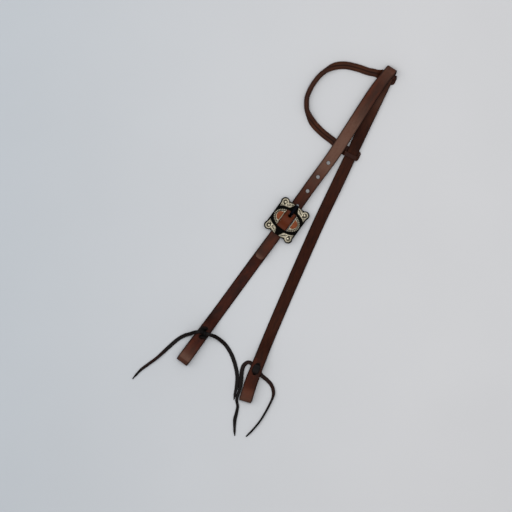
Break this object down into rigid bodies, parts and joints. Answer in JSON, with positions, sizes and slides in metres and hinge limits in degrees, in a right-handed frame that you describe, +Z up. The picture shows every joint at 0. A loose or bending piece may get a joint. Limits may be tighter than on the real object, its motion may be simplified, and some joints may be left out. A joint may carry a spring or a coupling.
{
  "type": "western headstall",
  "caption": "Western headstall of brown leather straps folded at the crown, with a sliding rolled ear piece, a silver buckle and laced bit ends.",
  "frame": {"origin": "middle of the footprint of the straps and buckle, on the surface that the headstall lies on", "axes": "+Y from the bit ends towards the crown fold, +Z up from the surface, +X towards the far leg"},
  "size_m": [0.1878, 0.5598, 0.0153],
  "materials": {
    "crown_leather": "oiled, dark burnished edges",
    "cheek_leather": "oiled, dark burnished edges",
    "ear_leather": "oiled and rolled",
    "frame_silver": "antiqued silver with a blackened ground",
    "heel_steel": "dark steel",
    "tongue_steel": "blued dark steel",
    "rim_silver": "beaded silver",
    "copper_field": "copper coloured",
    "near_lace": "dark latigo lace",
    "far_lace": "dark latigo lace",
    "scroll_silver": "engraved silver"
  },
  "bodies": {
    "headstall": {"crown_strap": "crown_leather", "buckle_frame": "frame_silver", "heel_bar": "heel_steel", "bead_rim": "rim_silver", "copper_field_left": "copper_field", "copper_field_right": "copper_field", "corner_scroll_1": "scroll_silver", "corner_scroll_2": "scroll_silver", "corner_scroll_3": "scroll_silver", "corner_scroll_4": "scroll_silver", "far_tie_lace": "far_lace", "far_tail_left": "far_lace", "far_tail_right": "far_lace"},
    "cheek": {"cheek_piece": "cheek_leather", "near_tie_lace": "near_lace", "near_tail_left": "near_lace", "near_tail_right": "near_lace"},
    "ear": {"ear_piece": "ear_leather"},
    "tongue": {"buckle_tongue": "tongue_steel"}
  },
  "joints": [
    {"name": "tongue_pivot", "type": "hinge", "parent": "headstall", "child": "tongue", "pos_m": [-0.01191, -0.00406, 0.00445], "axis": [0.9943, -0.1063, 0], "range_deg": [0, 8]},
    {"name": "cheek_swing", "type": "hinge", "parent": "headstall", "child": "cheek", "pos_m": [-0.01191, -0.00406, 0.00445], "axis": [0.9943, -0.1063, 0], "range_deg": [0, 45]},
    {"name": "ear_slide", "type": "slide", "parent": "headstall", "child": "ear", "axis": [0.0787, -0.9969, 0], "range_m": [0, 0.04]}
  ]
}
